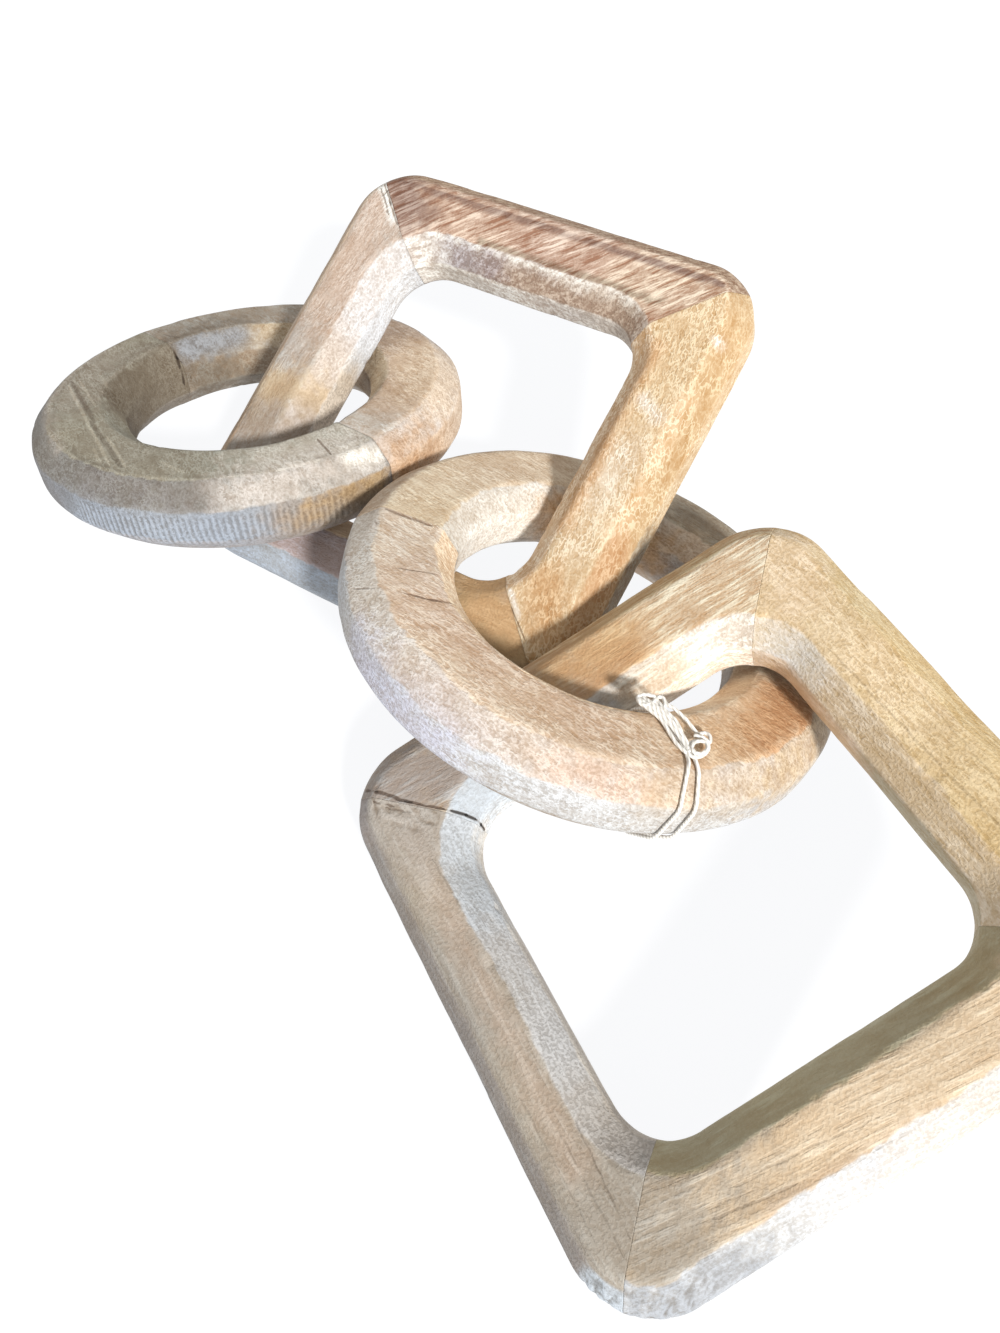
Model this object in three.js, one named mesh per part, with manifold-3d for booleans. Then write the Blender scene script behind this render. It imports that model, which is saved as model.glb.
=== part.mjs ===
// Decorative wooden chain: two rings and two squares, linked and lying loosely on a table.
// Each ring is two glued half rings. Each square is four bars, mitred and glued at the corners.
// Millimetres, +Z up. The origin is under the middle of the chain, on the table.
import * as THREE from 'three';
import { mergeVertices } from 'three/addons/utils/BufferGeometryUtils.js';
import Module from 'manifold-3d';

// The squares' bars are a little narrower than the rings. All are an inch thick, less the sanding.
const GLUE_GAP = 0.3;
const FLAT_DEPTH = 0.5;
const EDGE_SOFTENING = 1.6;

const RING_SECTION = { width: 32, thickness: 24.5, chamfer: 7 };
const BAR_SECTION = { width: 27.5, thickness: 24.5, chamfer: 7 };
const OUTER_CORNER_RADIUS = 21;
const INNER_CORNER_RADIUS = 15.5;

const RING_STATIONS = 64;
const CORNER_STEPS = 7;

// A link's pose: where its centre is, which way its top leans and how far, and its turn in its
// own plane. Angles are in degrees and headings run from +X towards +Y.
// jointHeading is where the two halves of a ring meet, and the other joint is opposite.
// reach is how far each bar's outer face is from the centre, and hole the same for its inner face.
const RINGS = [
  {
    name: 'end_ring', halves: ['rear_half', 'front_half'], outerRadius: 74, jointHeading: 0,
    centre: [-120, 3.5], lean: 14.5, leanHeading: 146, colour: 0xa99b86,
  },
  {
    name: 'inner_ring', halves: ['front_half', 'rear_half'], outerRadius: 75, jointHeading: -150,
    centre: [29, 12], lean: 20, leanHeading: 81, colour: 0xbfa489,
  },
];
const SQUARES = [
  {
    name: 'inner_square', centre: [-51.5, 40], lean: 26, leanHeading: -85.5, turn: 11, colour: 0xc8ad8c,
    reach: { far: 76, right: 75.5, near: 73.5, left: 75.5 },
    hole: { far: 47, right: 46, near: 47, left: 47 },
  },
  {
    name: 'end_square', centre: [103, -29.5], lean: 18.5, leanHeading: -110, turn: -19, colour: 0xcdb48c,
    reach: { far: 76.5, right: 75.5, near: 74.5, left: 77.5 },
    hole: { far: 48, right: 47.5, near: 50, left: 47.5 },
  },
];
const SIDES = ['right', 'far', 'left', 'near'];

// A string tied round the inner ring, two turns and a long flat knot.
const TIE = {
  heading: -36, thread: 1.4, clearance: 0.35, spread: 4,
  knot: { length: 16, width: 7, height: 4.2 }, colour: 0xe9e6df,
};

const degrees = THREE.MathUtils.degToRad;
const wasm = await Module();
wasm.setup();

function toSolid(geometry) {
  const bare = geometry.clone();
  bare.deleteAttribute('normal');
  bare.deleteAttribute('uv');
  const merged = mergeVertices(bare, 1e-4);
  return new wasm.Manifold(new wasm.Mesh({
    numProp: 3,
    vertProperties: new Float32Array(merged.attributes.position.array),
    triVerts: new Uint32Array(merged.index.array),
  }));
}

function toGeometry(solid) {
  const mesh = solid.getMesh();
  const geometry = new THREE.BufferGeometry();
  geometry.setAttribute('position', new THREE.BufferAttribute(new Float32Array(mesh.vertProperties), 3));
  geometry.setIndex(new THREE.BufferAttribute(new Uint32Array(mesh.triVerts), 1));
  geometry.computeVertexNormals();
  return geometry;
}

// The outline of a chamfered section whose eight corners are eased, anticlockwise.
// across runs from the hole outwards and up along the link's own Z.
function chamferedSection({ width, thickness, chamfer }) {
  const w = width / 2;
  const h = thickness / 2;
  const corners = [
    [w, -h + chamfer], [w, h - chamfer], [w - chamfer, h], [-w + chamfer, h],
    [-w, h - chamfer], [-w, -h + chamfer], [-w + chamfer, -h], [w - chamfer, -h],
  ].map(([across, up]) => new THREE.Vector2(across, up));
  const outline = [];
  corners.forEach((corner, i) => {
    for (const neighbour of [corners.at(i - 1), corners[(i + 1) % corners.length]]) {
      const along = neighbour.clone().sub(corner).normalize();
      outline.push(corner.clone().addScaledVector(along, EDGE_SOFTENING));
    }
  });
  return outline;
}

// Joins closed loops of equally many points, each to the next and the last to the first.
function skinLoops(loops) {
  const count = loops[0].length;
  const positions = loops.flat().flatMap((p) => [p.x, p.y, p.z]);
  const indices = [];
  for (let i = 0; i < loops.length; i += 1) {
    const next = (i + 1) % loops.length;
    for (let j = 0; j < count; j += 1) {
      const k = (j + 1) % count;
      const [a, b, c, d] = [i * count + j, i * count + k, next * count + k, next * count + j];
      indices.push(a, b, c, a, c, d);
    }
  }
  const geometry = new THREE.BufferGeometry();
  geometry.setAttribute('position', new THREE.Float32BufferAttribute(positions, 3));
  geometry.setIndex(indices);
  return geometry;
}

function circle(radius, z) {
  return Array.from({ length: RING_STATIONS }, (_, i) => {
    const angle = (2 * Math.PI * i) / RING_STATIONS;
    return new THREE.Vector3(radius * Math.cos(angle), radius * Math.sin(angle), z);
  });
}

// A rectangle with round corners, anticlockwise, whose four sides lie at their own distances.
function roundedRectangle(distance, radius, z) {
  const corners = [
    [distance.right, distance.far], [-distance.left, distance.far],
    [-distance.left, -distance.near], [distance.right, -distance.near],
  ];
  return corners.flatMap(([x, y], corner) => Array.from({ length: CORNER_STEPS + 1 }, (_, step) => {
    const angle = (Math.PI / 2) * (corner + step / CORNER_STEPS);
    return new THREE.Vector3(
      x - Math.sign(x) * radius + radius * Math.cos(angle),
      y - Math.sign(y) * radius + radius * Math.sin(angle),
      z,
    );
  }));
}

function ringBody({ outerRadius }) {
  const middle = outerRadius - RING_SECTION.width / 2;
  return skinLoops(chamferedSection(RING_SECTION).map((p) => circle(middle + p.x, p.y)));
}

// Outside the section's middle a loop is set in from the bars' outer faces, and inside the
// middle it is set out from their inner faces, so the chamfers keep one width on every bar.
function squareBody({ reach, hole }) {
  const shifted = (distances, by) => Object.fromEntries(SIDES.map((side) => [side, distances[side] + by]));
  return skinLoops(chamferedSection(BAR_SECTION).map((p) => {
    const fromFace = BAR_SECTION.width / 2 - Math.abs(p.x);
    return p.x > 0
      ? roundedRectangle(shifted(reach, -fromFace), OUTER_CORNER_RADIUS - fromFace, p.y)
      : roundedRectangle(shifted(hole, fromFace), INNER_CORNER_RADIUS + fromFace, p.y);
  }));
}

// A thin upright slab through the link's axis, standing where a joint is glued.
function jointSlab(heading, length, start) {
  return new THREE.BoxGeometry(length, GLUE_GAP, 60)
    .translate(start + length / 2, 0, 0)
    .rotateZ(degrees(heading));
}

function cutApart(solid, slabs) {
  const cut = slabs.reduce((rest, slab) => rest.subtract(toSolid(slab)), solid);
  return cut.decompose();
}

// The middle of a piece's box, as a heading from the link's axis.
function headingOf(piece) {
  const { min, max } = piece.boundingBox();
  return Math.atan2(min[1] + max[1], min[0] + max[0]);
}

function angleBetween(a, b) {
  return Math.abs(Math.atan2(Math.sin(a - b), Math.cos(a - b)));
}

// Leans the link, then sets it down so that it sinks by the depth of its worn flat.
function poseOf({ centre, lean, leanHeading, turn = 0 }, geometry) {
  const heading = degrees(leanHeading);
  const hinge = new THREE.Vector3(-Math.sin(heading), Math.cos(heading), 0);
  const pose = new THREE.Matrix4()
    .makeRotationAxis(hinge, degrees(lean))
    .multiply(new THREE.Matrix4().makeRotationZ(degrees(turn)));
  const posed = geometry.clone().applyMatrix4(pose);
  posed.computeBoundingBox();
  const height = -posed.boundingBox.min.z - FLAT_DEPTH;
  return new THREE.Matrix4().makeTranslation(centre[0], centre[1], height).multiply(pose);
}

function groundCutter(pose) {
  const ground = new THREE.BoxGeometry(600, 600, 40).translate(0, 0, -20);
  return toSolid(ground.applyMatrix4(pose.clone().invert()));
}

function woodMesh(name, solid, colour) {
  const material = new THREE.MeshStandardMaterial({ color: colour, roughness: 0.85, metalness: 0 });
  const mesh = new THREE.Mesh(toGeometry(solid), material);
  mesh.name = name;
  return mesh;
}

function makeLink(link, geometry, slabs, nameOf) {
  const pose = poseOf(link, geometry);
  const ground = groundCutter(pose);
  const group = new THREE.Group();
  group.applyMatrix4(pose);
  for (const piece of cutApart(toSolid(geometry), slabs)) {
    group.add(woodMesh(`${link.name}_${nameOf(headingOf(piece))}`, piece.subtract(ground), link.colour));
  }
  return group;
}

function makeRing(ring) {
  const slab = jointSlab(ring.jointHeading, 4 * ring.outerRadius, -2 * ring.outerRadius);
  const firstHalf = degrees(ring.jointHeading + 90);
  const nameOf = (heading) => ring.halves[angleBetween(heading, firstHalf) < Math.PI / 2 ? 0 : 1];
  return makeLink(ring, ringBody(ring), [slab], nameOf);
}

function makeSquare(square) {
  const slabs = SIDES.map((_, i) => jointSlab(45 + 90 * i, 140, 0));
  const nameOf = (heading) => {
    const quarter = Math.round(heading / (Math.PI / 2) + 4) % 4;
    return `${SIDES[quarter]}_bar`;
  };
  return makeLink(square, squareBody(square), slabs, nameOf);
}

// Two turns of string round the ring's section, joined by the knot on the top face.
function makeTie(ring) {
  const off = TIE.clearance + TIE.thread / 2;
  const around = chamferedSection({
    width: RING_SECTION.width + 2 * off,
    thickness: RING_SECTION.thickness + 2 * off,
    chamfer: RING_SECTION.chamfer + 0.6 * off,
  });
  const middle = ring.outerRadius - RING_SECTION.width / 2;
  const turnAt = (angle) => {
    const route = around.map((p) => new THREE.Vector3(middle + p.x, 0, p.y));
    const sides = 6;
    const loops = route.map((p, i) => {
      const forward = route[(i + 1) % route.length].clone().sub(route.at(i - 1)).normalize();
      const side = new THREE.Vector3(0, 1, 0);
      const out = forward.clone().cross(side);
      return Array.from({ length: sides }, (_, s) => {
        const t = (2 * Math.PI * s) / sides;
        return p.clone()
          .addScaledVector(side, (TIE.thread / 2) * Math.cos(t))
          .addScaledVector(out, (TIE.thread / 2) * Math.sin(t));
      });
    });
    return toSolid(skinLoops(loops).rotateZ(degrees(TIE.heading) + angle));
  };
  const halfSpread = TIE.spread / 2 / ring.outerRadius;
  const knotHeight = (RING_SECTION.thickness + TIE.knot.height) / 2 + TIE.clearance;
  const knot = new THREE.SphereGeometry(0.5, 12, 8)
    .scale(TIE.knot.length, TIE.knot.width, TIE.knot.height)
    .translate(middle, 0, knotHeight)
    .rotateZ(degrees(TIE.heading));
  const solid = turnAt(-halfSpread).add(turnAt(halfSpread)).add(toSolid(knot));
  const mesh = woodMesh('string_tie', solid, TIE.colour);
  const group = new THREE.Group();
  group.applyMatrix4(poseOf(ring, ringBody(ring)));
  group.add(mesh);
  return group;
}

const chain = new THREE.Group();
for (const ring of RINGS) {
  chain.add(makeRing(ring));
}
for (const square of SQUARES) {
  chain.add(makeSquare(square));
}
chain.add(makeTie(RINGS[1]));

// The origin comes under the middle of the whole chain.
const middle = new THREE.Box3().setFromObject(chain, true).getCenter(new THREE.Vector3());
chain.position.set(-middle.x, -middle.y, 0);

export default chain;
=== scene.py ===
"""A decorative wooden chain lying on a table: two rings and two squares with a string tie.

Lengths are millimetres in each link's own frame. The meshes are made in metres.
"""
import math
from types import SimpleNamespace

import bpy
import numpy as np
from mathutils import Matrix, Vector


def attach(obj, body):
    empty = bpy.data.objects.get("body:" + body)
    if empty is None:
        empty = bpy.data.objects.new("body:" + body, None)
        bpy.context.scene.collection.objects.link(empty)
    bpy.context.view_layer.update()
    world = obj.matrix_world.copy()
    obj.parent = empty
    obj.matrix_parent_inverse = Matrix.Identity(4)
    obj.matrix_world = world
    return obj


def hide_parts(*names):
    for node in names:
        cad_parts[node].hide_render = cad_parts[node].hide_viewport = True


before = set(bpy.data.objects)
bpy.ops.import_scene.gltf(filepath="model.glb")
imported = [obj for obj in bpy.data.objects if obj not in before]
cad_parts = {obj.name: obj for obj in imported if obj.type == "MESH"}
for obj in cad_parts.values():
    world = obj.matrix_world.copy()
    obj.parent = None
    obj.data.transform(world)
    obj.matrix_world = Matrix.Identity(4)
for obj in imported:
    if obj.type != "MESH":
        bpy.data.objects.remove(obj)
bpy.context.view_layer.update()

MM = 0.001

# Sections, the same as the solids'.
RING_SECTION = dict(width=32.0, thickness=24.5, chamfer=7.0)
BAR_SECTION = dict(width=27.5, thickness=24.5, chamfer=7.0)
OUTER_CORNER_RADIUS = 21.0
INNER_CORNER_RADIUS = 15.5

# The height of spots and of lines on the top face, where theirs isn't given.
SPOT_HEIGHT = 12
LINE_HEIGHT = 12.2

# How the meshes are made: how far an edge is eased, the spacing of points and the glue gap at each end.
# END_STATIONS are the distances of the first points from an end, at the mean radius or reach, and within
# CORE_HALF_WIDTH of its middle a bar passes from its outer side to its hole's.
EDGE_TANGENT = 1.5
FLAT_STEP = 1.25
CORNER_STEPS = 6
END_GAP = 0.015
END_STATIONS = np.array([0, 0.25, 0.5, 0.85, 1.3])
RING_STATIONS = 300
BAR_STATIONS = 180
MEAN_RING_RADIUS = 60.0
MEAN_BAR_REACH = 62.0
CORE_HALF_WIDTH = 5.0

# Poses, the same as the solids'. lean tips the link's top towards heading, turn is in its own plane.
LINKS = {
    "end_ring": dict(centre=(-119.83, 2.20, 27.735), lean=14.5, heading=146.0, turn=0.0, radius=74.0),
    "inner_ring": dict(centre=(29.17, 10.70, 33.704), lean=20.0, heading=81.0, turn=0.0, radius=75.0),
    "inner_square": dict(
        centre=(-51.33, 38.70, 41.657), lean=26.0, heading=-85.5, turn=11.0,
        reach=dict(far=76.0, right=75.5, near=73.5, left=75.5),
        hole=dict(far=47.0, right=46.0, near=47.0, left=47.0)),
    "end_square": dict(
        centre=(103.17, -30.80, 32.337), lean=18.5, heading=-110.0, turn=-19.0,
        reach=dict(far=76.5, right=75.5, near=74.5, left=77.5),
        hole=dict(far=48.0, right=47.5, near=50.0, left=47.5)),
}
SIDES = ("right", "far", "left", "near")
FACES = ("outer", "outer_bevel", "top", "inner_bevel", "inner", "under_inner", "under", "under_outer")

# The wood's colours where the wash is thick, thin or rubbed off. The two darkest browns also serve as
# painted shade, on faces and hollows that lie in shadow.
TONES = dict(
    milk="#ece3d7", linen="#d6d1c9", bone="#c8c1b7", chalk="#c4c5c7", ash="#b8b6b4", frost="#a8aeb4",
    steel="#9aa0a8", lilac="#b5b3bd", ice="#8f97a3", slate="#84868a", mauve="#979098", mist="#9a928e",
    grey="#807d78", drift="#a9a097", dove="#bcb2aa", cream="#dcc5a9", oat="#cdbca4", sand="#c8b292",
    honey="#cdb68d", tan="#c5b09a", rose="#c4ab98", peach="#cfa78c", apricot="#c9a681", gold="#b8a07e",
    ochre="#bf9c74", amber="#b48e6a", cinnamon="#b5855c", caramel="#a08560", olive="#999588",
    cocoa="#a58e79", mocha="#937b6f", umber="#8e7c68", shade="#6a6053", buff="#cdb9a1", wheat="#d5bfa2",
    moss="#aca287", clay="#a0978b", fawn="#b6a08c", smoke="#746c68", shadow_brown="#70665a")


def linear(code):
    """A hex colour as linear light."""
    rgb = np.array([int(code[i:i + 2], 16) / 255 for i in (1, 3, 5)])
    return np.where(rgb <= 0.04045, rgb / 12.92, ((rgb + 0.055) / 1.055) ** 2.4)


def rgba(code):
    return (*linear(code), 1.0)


def smooth(x):
    x = np.clip(x, 0, 1)
    return x * x * (3 - 2 * x)


def lattice(ix, iy, iz, seed):
    """A number from -1 to 1 for each whole point of space, the same on every run."""
    h = ix * 374761393 + iy * 668265263 + iz * 1440662683 + seed * 974711
    h = (h ^ (h >> 13)) & 0xFFFFFFFF
    h = (h * 1274126177) & 0xFFFFFFFF
    h = (h ^ (h >> 16)) & 0xFFFFFFFF
    return h / 0xFFFFFFFF * 2 - 1


def noise(points, size, seed):
    """Smooth noise from -1 to 1 whose bumps are about size across."""
    p = points / size
    base = np.floor(p).astype(np.int64)
    f = smooth(p - base)
    total = 0
    for corner in np.ndindex(2, 2, 2):
        share = np.prod(np.abs(1 - np.array(corner) - f), axis=-1)
        ix, iy, iz = np.moveaxis(base + np.array(corner), -1, 0)
        total = total + share * lattice(ix, iy, iz, seed)
    return total


def pose_of(link):
    turned = Matrix.Rotation(math.radians(link["turn"]), 4, "Z")
    heading = math.radians(link["heading"])
    hinge = Vector((-math.sin(heading), math.cos(heading), 0))
    leaned = Matrix.Rotation(math.radians(link["lean"]), 4, hinge)
    return np.array(Matrix.Translation(Vector(link["centre"])) @ leaned @ turned)


def turned_by(angle):
    """The matrix of a turn about Z."""
    c, s = math.cos(angle), math.sin(angle)
    return np.array([[c, -s, 0], [s, c, 0], [0, 0, 1]])


def lifted(points, height):
    """The points, with this height where only two numbers are given."""
    return [(*point, height)[:3] for point in points]


def to_frame(points, pose):
    return points @ pose[:3, :3].T + pose[:3, 3]


# Shapes

def section_outline(width, thickness, chamfer):
    """Round a chamfered section with eased corners, from the middle of its outer face: points (across,
    up), the angle that the surface faces (0 outwards, 90 up), and the way round to each point and corner."""
    w, h = width / 2, thickness / 2
    corners = np.array([
        (w, h - chamfer), (w - chamfer, h), (-w + chamfer, h), (-w, h - chamfer),
        (-w, -h + chamfer), (-w + chamfer, -h), (w - chamfer, -h), (w, -h + chamfer)])
    path = [np.array((w, 0.0))]
    corner_index = []

    def flat(end):
        steps = max(2, round(np.linalg.norm(end - path[-1]) / FLAT_STEP))
        path.extend(np.linspace(path[-1], end, steps + 1)[1:-1])

    for i, corner in enumerate(corners):
        before = corners[i - 1] - corner
        after = corners[(i + 1) % 8] - corner
        a = corner + before / np.linalg.norm(before) * EDGE_TANGENT
        b = corner + after / np.linalg.norm(after) * EDGE_TANGENT
        flat(a)
        corner_index.append(len(path) + CORNER_STEPS // 2)
        for s in np.linspace(0, 1, CORNER_STEPS + 1):
            path.append((1 - s) ** 2 * a + 2 * s * (1 - s) * corner + s ** 2 * b)
    flat(path[0])
    points = np.array(path)
    step = np.roll(points, -1, 0) - np.roll(points, 1, 0)
    spans = np.linalg.norm(np.roll(points, -1, 0) - points, axis=1)
    way = np.concatenate([[0], np.cumsum(spans)])
    return SimpleNamespace(
        points=points, angle=np.degrees(np.arctan2(-step[:, 0], step[:, 1])),
        way=way[:-1], corners=way[corner_index], total=way[-1])


def face_shares(section, shift, borders):
    """How much each point belongs to each of the eight faces. shift makes the faces' borders ragged,
    and borders moves some of them towards the outer face, as the sander left them."""
    softness = 0.7
    place = section.way + shift
    corners = [corner - borders.get(k, 0.0) for k, corner in enumerate(section.corners)]
    past = [smooth((place - corner) / softness + 0.5) for corner in corners]
    shares = [1 - past[0] + past[7]] + [past[k - 1] - past[k] for k in range(1, 8)]
    return np.stack(shares, -1)


def to_edge(section):
    """The distance of each point of the section from its nearest edge."""
    half = section.total / 2
    away = (section.way[:, None] - section.corners + half) % section.total - half
    return np.abs(away).min(1)


def ring_grid(link, section, start, end, stations):
    """Points of part of a ring between two headings, less the glue gap, and how far each end is."""
    radius = link["radius"] - RING_SECTION["width"] / 2 + section.points[:, 0]
    near_end = END_STATIONS / MEAN_RING_RADIUS
    length = math.radians(end - start)
    middle = np.linspace(near_end[-1], length - near_end[-1], stations)[1:-1]
    u = np.concatenate([near_end, middle, (length - near_end)[::-1]])
    gap = END_GAP / radius
    turn = math.radians(start) + gap[None] + (length - 2 * gap[None]) * (u[:, None] / length)
    height = np.broadcast_to(section.points[:, 1], turn.shape)
    grid = np.stack([radius * np.cos(turn), radius * np.sin(turn), height], -1)
    return grid, u[:, None] * radius, (length - u[:, None]) * radius


def bar_grid(link, section, side, stations):
    """Points of one mitred bar of a square, less the glue gap. Every station lies on a line through the
    link's axis, so the end stations lie on the mitre."""
    i = SIDES.index(side)
    x = section.points[:, 0]
    half = BAR_SECTION["width"] / 2
    core = CORE_HALF_WIDTH
    share = np.clip((x + core) / (2 * core), 0, 1)

    def distance(name):
        outer = link["reach"][name] - half
        inner = link["hole"][name] + half
        between = (inner - core) * (1 - share) + (outer + core) * share
        return np.where(x > core, outer + x, np.where(x < -core, inner + x, between))

    outer_radius = OUTER_CORNER_RADIUS - half + x
    inner_radius = INNER_CORNER_RADIUS + half + x
    s = smooth((x + core) / (2 * core))
    radius = inner_radius * (1 - s) + outer_radius * s
    d = distance(side)
    near_end = END_STATIONS * math.sqrt(2) / MEAN_BAR_REACH
    middle = np.linspace(near_end[-1] - 1, 1 - near_end[-1], stations)[1:-1]
    t = np.concatenate([near_end - 1, middle, (1 - near_end)[::-1]])
    t = t[:, None] * (1 - END_GAP * math.sqrt(2) / d[None])
    e = np.where(t >= 0, distance(SIDES[(i + 1) % 4])[None], distance(SIDES[(i - 1) % 4])[None])
    a = np.abs(t)
    straight = a * d <= e - radius
    cx, cy = d - radius, e - radius
    dot = cx + a * cy
    norm = 1 + a * a
    root = np.sqrt(np.maximum(dot ** 2 - norm * (cx ** 2 + cy ** 2 - radius ** 2), 0))
    reach = np.where(straight, d, (dot + root) / norm)
    local = np.stack([reach, reach * t, np.broadcast_to(section.points[:, 1], t.shape)], -1)
    turn = math.radians(90 * i)
    local = local @ turned_by(turn).T
    return local, reach * (1 + t) / math.sqrt(2), reach * (1 - t) / math.sqrt(2)


def grid_normals(grid):
    along = np.gradient(grid, axis=0)
    around = (np.roll(grid, -1, 1) - np.roll(grid, 1, 1)) / 2
    normal = np.cross(around, along)
    normal /= np.linalg.norm(normal, axis=-1, keepdims=True) + 1e-12
    outward = grid - grid.mean(1, keepdims=True)
    return normal * np.sign((normal * outward).sum(-1).mean())


def distance_to(points, path):
    """Distance of each point from a place or a polyline, and how far along it the nearest place is."""
    path = np.asarray(path, float)
    if len(path) == 1:
        return np.linalg.norm(points - path, axis=-1), np.zeros(points.shape[:-1])
    best = np.full(points.shape[:-1], np.inf)
    where = np.zeros(points.shape[:-1])
    spans = np.linalg.norm(np.diff(path, axis=0), axis=1)
    done = 0.0
    for a, b, span in zip(path[:-1], path[1:], spans):
        s = np.clip(((points - a) @ (b - a)) / span ** 2, 0, 1)
        away = np.linalg.norm(points - a - s[..., None] * (b - a), axis=-1)
        closer = away < best
        best = np.where(closer, away, best)
        where = np.where(closer, (done + s * span) / spans.sum(), where)
        done += span
    return best, where


# The wood's material

class Nodes:
    """A short way to write a node tree."""

    def __init__(self, name):
        self.material = bpy.data.materials.new(name)
        self.material.use_nodes = True
        self.tree = self.material.node_tree
        self.tree.nodes.clear()

    def add(self, kind, inputs=None, **settings):
        node = self.tree.nodes.new(kind)
        for key, value in settings.items():
            setattr(node, key, value)
        for key, value in (inputs or {}).items():
            self.put(node.inputs[key], value)
        return node

    def put(self, socket, value):
        if isinstance(value, bpy.types.NodeSocket):
            self.tree.links.new(value, socket)
        else:
            socket.default_value = value

    def attribute(self, name, output="Fac"):
        return self.add("ShaderNodeAttribute", attribute_name=name).outputs[output]

    def math(self, operation, a, b=0.0, c=0.0):
        return self.add("ShaderNodeMath", {0: a, 1: b, 2: c}, operation=operation).outputs[0]

    def vector(self, operation, a, b, output="Vector"):
        return self.add("ShaderNodeVectorMath", {0: a, 1: b}, operation=operation).outputs[output]

    def scaled(self, vector, factor):
        inputs = {0: vector, "Scale": factor}
        return self.add("ShaderNodeVectorMath", inputs, operation="SCALE").outputs[0]

    def noise(self, vector, scale=1.0, detail=2.0, roughness=0.5, output="Fac"):
        inputs = {"Vector": vector, "Scale": scale, "Detail": detail, "Roughness": roughness}
        return self.add("ShaderNodeTexNoise", inputs).outputs[output]

    def step(self, value, low, high):
        """0 below low, 1 above high, smooth between."""
        inputs = {"Value": value, "From Min": low, "From Max": high}
        return self.add("ShaderNodeMapRange", inputs, interpolation_type="SMOOTHSTEP").outputs[0]

    def squiggles(self, vector, thin, thick):
        """1 on the thin wavy lines where a noise crosses its middle, 0 elsewhere."""
        off = self.math("ABSOLUTE", self.math("SUBTRACT", self.noise(vector, 1, 2, 0.5), 0.5))
        return self.math("SUBTRACT", 1.0, self.step(off, thin, thick))

    def mix(self, amount, a, b, blend="MIX"):
        node = self.add("ShaderNodeMix", data_type="RGBA", blend_type=blend)
        sockets = [s for s in node.inputs if s.enabled]
        for socket, value in zip(sockets, (amount, a, b)):
            self.put(socket, value)
        return [s for s in node.outputs if s.enabled][0]

    def tint(self, colour, factors):
        return self.vector("MULTIPLY", colour, factors)

    def bump(self, height, strength, distance):
        inputs = {"Strength": strength, "Distance": distance, "Height": height}
        return self.add("ShaderNodeBump", inputs).outputs[0]

    def surface(self, inputs):
        """Ends the tree with a surface and gives the material."""
        shader = self.add("ShaderNodeBsdfPrincipled", inputs)
        self.add("ShaderNodeOutputMaterial", {"Surface": shader.outputs[0]})
        return self.material


def line_marks(n, lines):
    """Saw lines, scratches and open cracks, each a tuple of its two ends in the link's frame, its
    width, the share of light it leaves and how ragged it is. Gives how much lighter or darker each
    place gets."""
    place = n.attribute("place", "Vector")
    shaky = n.vector("SUBTRACT", n.noise(place, 220, 2, 0.6, "Color"), (0.5, 0.5, 0.5))
    marks = 1.0
    for a, b, width, left, ragged in lines:
        a, b = (Vector(end) * MM for end in lifted((a, b), LINE_HEIGHT))
        along = b - a
        moved = n.vector("MULTIPLY", shaky, (ragged * MM,) * 3)
        from_a = n.vector("SUBTRACT", n.vector("ADD", place, moved), tuple(a))
        dot = n.vector("DOT_PRODUCT", from_a, tuple(along / along.length_squared), "Value")
        s = n.add("ShaderNodeClamp", {"Value": dot}).outputs[0]
        foot = n.scaled(tuple(along), s)
        gap = n.vector("DISTANCE", from_a, foot, "Value")
        taper = n.step(n.math("ABSOLUTE", n.math("SUBTRACT", s, 0.5)), 0.5, 0.38)
        half = n.math("MULTIPLY_ADD", taper, 0.25 * width * MM, 0.25 * width * MM)
        mask = n.math("SUBTRACT", 1.0, n.step(n.math("DIVIDE", gap, half), 0.4, 1.2))
        marks = n.math("MULTIPLY", marks, n.math("MULTIPLY_ADD", mask, left - 1.0, 1.0))
    return marks


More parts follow.
